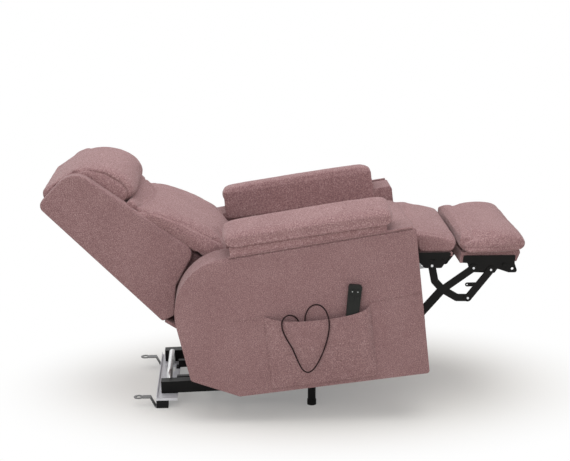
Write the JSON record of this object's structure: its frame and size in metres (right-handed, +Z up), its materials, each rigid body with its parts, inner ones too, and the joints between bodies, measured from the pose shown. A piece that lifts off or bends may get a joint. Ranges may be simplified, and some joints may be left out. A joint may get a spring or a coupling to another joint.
{
  "type": "lift recliner chair",
  "caption": "Upholstered powered lift recliner on a short steel base, with padded arms, headrest, ottoman linkage, side pocket and corded handset, shown reclined.",
  "frame": {"origin": "on the floor, under the centre of the whole chair's bounding box without the handset's cord", "axes": "+X to the sitter's left, +Y from the footrest to the head, +Z up"},
  "size_m": [0.8448, 1.6523, 0.8586],
  "materials": {
    "frame_black": "satin black powder coat",
    "link_dark": "dark grey zinc and paint, worn bright at the rivets",
    "bright_steel": "bright zinc",
    "plate_grey": "light grey paint",
    "motor_grey": "textured housing",
    "black_plastic": "moulded",
    "rubber_black": "matt",
    "handset_grey": "fine texture",
    "key_grey": "silicone key",
    "cord_brown": "satin sleeve",
    "wood": "unfinished plywood and pine",
    "cover": "dusty pink marl upholstery cloth",
    "cover_dark": "the same cloth, tight over board",
    "foam": "foam block under the cover"
  },
  "bodies": {
    "base": {"base_rails": "frame_black", "rail_caps": "black_plastic", "rear_cross_plate": "plate_grey", "base_cross_members": "frame_black", "rear_bow": "bright_steel", "rear_foot_blocks": "black_plastic", "front_foot_tips": "rubber_black", "floor_brackets": "bright_steel", "base_link_brackets": "frame_black", "power_supply": "black_plastic"},
    "lift_links": {"lift_links": "frame_black"},
    "stay_links": {"stay_links": "frame_black"},
    "lift_drive": {"lift_motor": "motor_grey"},
    "lift_ram": {"lift_rod": "bright_steel"},
    "chair": {"cross_tubes": "frame_black", "side_plates": "frame_black", "left_arm_box": "cover_dark", "right_arm_box": "cover_dark", "arm_strips": "cover_dark", "left_arm_pad": "cover", "right_arm_pad": "cover", "pocket": "cover_dark", "handset_back": "handset_grey", "handset_front": "handset_grey", "handset_gland": "black_plastic", "handset_cord": "cord_brown", "cord_elbow": "rubber_black", "seat_deck": "wood", "seat_springs": "bright_steel", "seat_cushion": "cover", "control_box": "black_plastic"},
    "raise_key": {"button_raise": "key_grey"},
    "lower_key": {"button_lower": "key_grey"},
    "recline_key": {"button_recline": "key_grey"},
    "upright_key": {"button_upright": "key_grey"},
    "back": {"back_frame": "wood", "rear_panel": "cover_dark", "lower_back_cover": "cover_dark", "left_wing": "cover_dark", "right_wing": "cover_dark", "back_foam": "foam", "lumbar_cushion": "cover", "headrest_cushion": "cover", "back_brackets": "frame_black", "back_torque_tube": "frame_black"},
    "back_drive": {"back_motor": "motor_grey"},
    "back_ram": {"back_rod": "bright_steel"},
    "mid_ottoman": {"mid_plates": "link_dark", "torque_tube": "frame_black", "mid_board": "cover_dark", "mid_pad": "cover"},
    "upper_links": {"upper_links": "link_dark"},
    "lower_links": {"lower_links": "link_dark"},
    "outer_links": {"outer_links": "link_dark"},
    "footrest": {"footrest_rails": "link_dark", "footrest_board": "cover_dark", "footrest_pad": "cover"},
    "foot_drive": {"foot_motor": "motor_grey"},
    "foot_ram": {"foot_rod": "bright_steel"}
  },
  "joints": [
    {"name": "lift", "type": "hinge", "parent": "base", "child": "lift_links", "pos_m": [0, -0.07, 0.072], "axis": [1, 0, 0], "range_deg": [0, 46]},
    {"name": "chair_tilt", "type": "hinge", "parent": "lift_links", "child": "chair", "pos_m": [0, 0.22453, 0.12501], "axis": [1, 0, 0], "range_deg": [-21.1, 0]},
    {"name": "stay_swing", "type": "hinge", "parent": "base", "child": "stay_links", "pos_m": [0, -0.0851, 0.0685], "axis": [1, 0, 0], "range_deg": [0, 48.9]},
    {"name": "lift_drive_pivot", "type": "hinge", "parent": "base", "child": "lift_drive", "pos_m": [0, -0.059, 0.1], "axis": [1, 0, 0], "range_deg": [0, 34]},
    {"name": "lift_ram_stroke", "type": "slide", "parent": "lift_drive", "child": "lift_ram", "axis": [0, 0.0719, 0.9974], "range_m": [0, 0.1102]},
    {"name": "back_raise", "type": "hinge", "parent": "chair", "child": "back", "pos_m": [0, 0.24632, 0.40033], "axis": [1, 0, 0], "range_deg": [0, 27]},
    {"name": "back_drive_pivot", "type": "hinge", "parent": "chair", "child": "back_drive", "pos_m": [0, -0.19538, 0.23701], "axis": [1, 0, 0], "range_deg": [-2.3, 0]},
    {"name": "back_ram_stroke", "type": "slide", "parent": "back_drive", "child": "back_ram", "axis": [0, 0.995, 0.0997], "range_m": [0, 0.0608]},
    {"name": "footrest_fold", "type": "hinge", "parent": "chair", "child": "mid_ottoman", "pos_m": [0, -0.41857, 0.55276], "axis": [1, 0, 0], "range_deg": [0, 90]},
    {"name": "upper_link_swing", "type": "hinge", "parent": "mid_ottoman", "child": "upper_links", "pos_m": [0, -0.49717, 0.5085], "axis": [1, 0, 0], "range_deg": [-22.1, 0]},
    {"name": "footrest_turn", "type": "hinge", "parent": "upper_links", "child": "footrest", "pos_m": [0, -0.64134, 0.498], "axis": [1, 0, 0], "range_deg": [0, 15.5]},
    {"name": "lower_link_swing", "type": "hinge", "parent": "upper_links", "child": "lower_links", "pos_m": [0, -0.53633, 0.42243], "axis": [1, 0, 0], "range_deg": [0, 9.5]},
    {"name": "outer_link_swing", "type": "hinge", "parent": "lower_links", "child": "outer_links", "pos_m": [0, -0.62448, 0.39136], "axis": [1, 0, 0], "range_deg": [-8.2, 0]},
    {"name": "foot_drive_pivot", "type": "hinge", "parent": "chair", "child": "foot_drive", "pos_m": [0, 0.05666, 0.41422], "axis": [1, 0, 0], "range_deg": [-0.7, 0]},
    {"name": "foot_ram_stroke", "type": "slide", "parent": "foot_drive", "child": "foot_ram", "axis": [0, -0.9877, 0.1563], "range_m": [-0.1212, 0]},
    {"name": "raise_key_press", "type": "slide", "parent": "chair", "child": "raise_key", "axis": [1, 0, 0], "range_m": [0, 0.0012], "stiffness_N_per_m": 400},
    {"name": "lower_key_press", "type": "slide", "parent": "chair", "child": "lower_key", "axis": [1, 0, 0], "range_m": [0, 0.0012], "stiffness_N_per_m": 400},
    {"name": "recline_key_press", "type": "slide", "parent": "chair", "child": "recline_key", "axis": [1, 0, 0], "range_m": [0, 0.0012], "stiffness_N_per_m": 400},
    {"name": "upright_key_press", "type": "slide", "parent": "chair", "child": "upright_key", "axis": [1, 0, 0], "range_m": [0, 0.0012], "stiffness_N_per_m": 400}
  ],
  "couplings": [
    {"joint": "chair_tilt", "follows": "lift", "ratio": -0.45652},
    {"joint": "stay_swing", "follows": "lift", "ratio": 1.06},
    {"joint": "lift_drive_pivot", "follows": "lift", "ratio": 0.7365},
    {"joint": "lift_ram_stroke", "follows": "lift", "m_per_rad": 0.13701},
    {"joint": "back_drive_pivot", "follows": "back_raise", "ratio": -0.0821},
    {"joint": "back_ram_stroke", "follows": "back_raise", "m_per_rad": 0.1287},
    {"joint": "upper_link_swing", "follows": "footrest_fold", "ratio": -0.2444},
    {"joint": "footrest_turn", "follows": "footrest_fold", "ratio": 0.1711},
    {"joint": "lower_link_swing", "follows": "footrest_fold", "ratio": 0.1045},
    {"joint": "outer_link_swing", "follows": "footrest_fold", "ratio": -0.0902},
    {"joint": "foot_drive_pivot", "follows": "footrest_fold", "ratio": -0.00745},
    {"joint": "foot_ram_stroke", "follows": "footrest_fold", "m_per_rad": -0.077}
  ]
}
